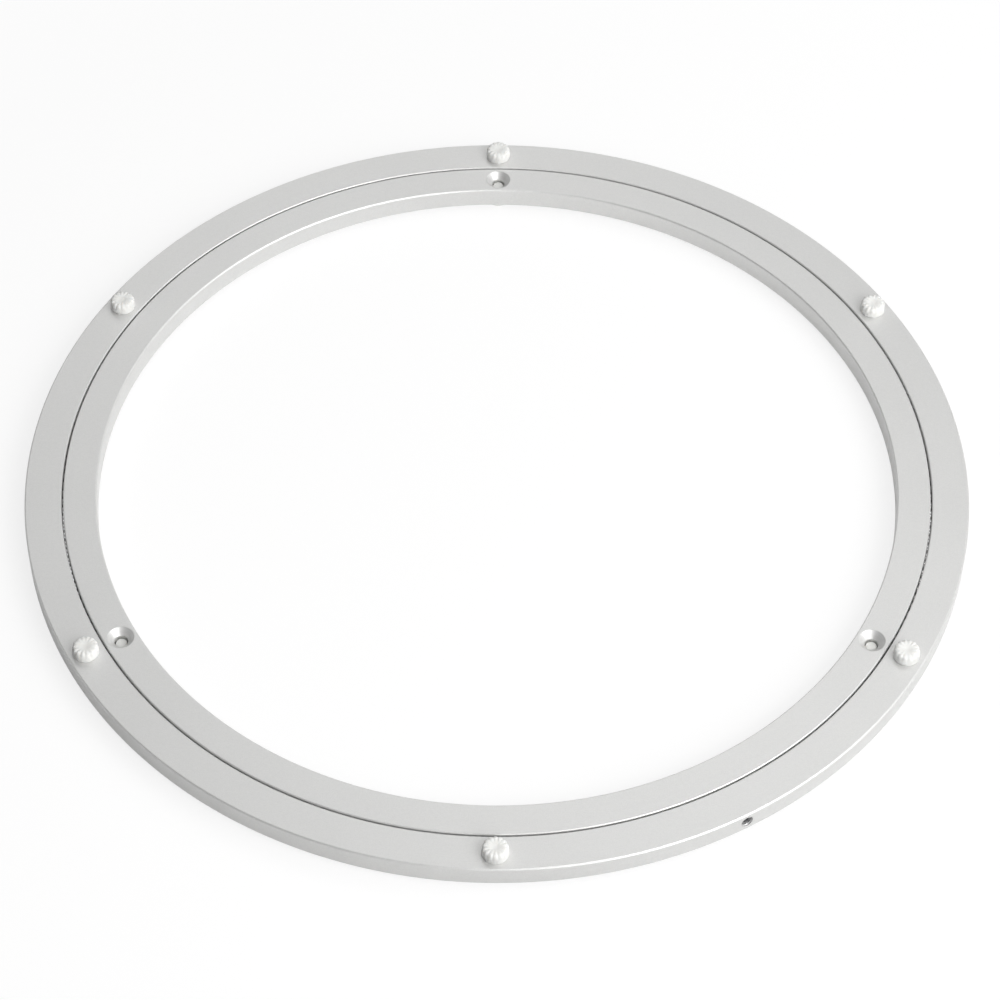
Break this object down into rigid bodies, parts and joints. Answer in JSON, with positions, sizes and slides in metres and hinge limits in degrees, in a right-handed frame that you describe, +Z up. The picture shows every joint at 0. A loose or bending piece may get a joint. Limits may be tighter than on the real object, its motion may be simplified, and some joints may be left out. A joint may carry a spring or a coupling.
{
  "type": "lazy susan bearing",
  "caption": "Thin aluminium turntable bearing: an outer ring with fluted pads turns on loose balls round a footed inner ring.",
  "frame": {"origin": "on the turning axis, at the table surface under the feet", "axes": "+Z up along the turning axis; +Y towards the first foot and its screw hole; the rings lie flat in the XY plane"},
  "size_m": [0.35, 0.35, 0.0142],
  "materials": {
    "satin_aluminium": "fine satin, anodised",
    "white_pad": "moulded, semi-matt",
    "white_foot": "moulded, semi-matt",
    "set_screw_steel": "plain steel",
    "ball_steel": "polished"
  },
  "bodies": {
    "base": {"inner_ring": "satin_aluminium", "foot_1": "white_foot", "foot_2": "white_foot", "foot_3": "white_foot"},
    "turntable": {"outer_ring": "satin_aluminium", "pad_1": "white_pad", "pad_2": "white_pad", "pad_3": "white_pad", "pad_4": "white_pad", "pad_5": "white_pad", "pad_6": "white_pad", "filler_screw": "set_screw_steel"},
    "ball_train": {"balls": "ball_steel"}
  },
  "joints": [
    {"name": "turntable_spin", "type": "hinge", "parent": "base", "child": "turntable", "pos_m": [0, 0, 0.00575], "axis": [0, 0, 1], "continuous": true},
    {"name": "ball_train_orbit", "type": "hinge", "parent": "base", "child": "ball_train", "pos_m": [0, 0, 0.00575], "axis": [0, 0, 1], "continuous": true}
  ],
  "couplings": [
    {"joint": "ball_train_orbit", "follows": "turntable_spin", "ratio": 0.5036}
  ]
}
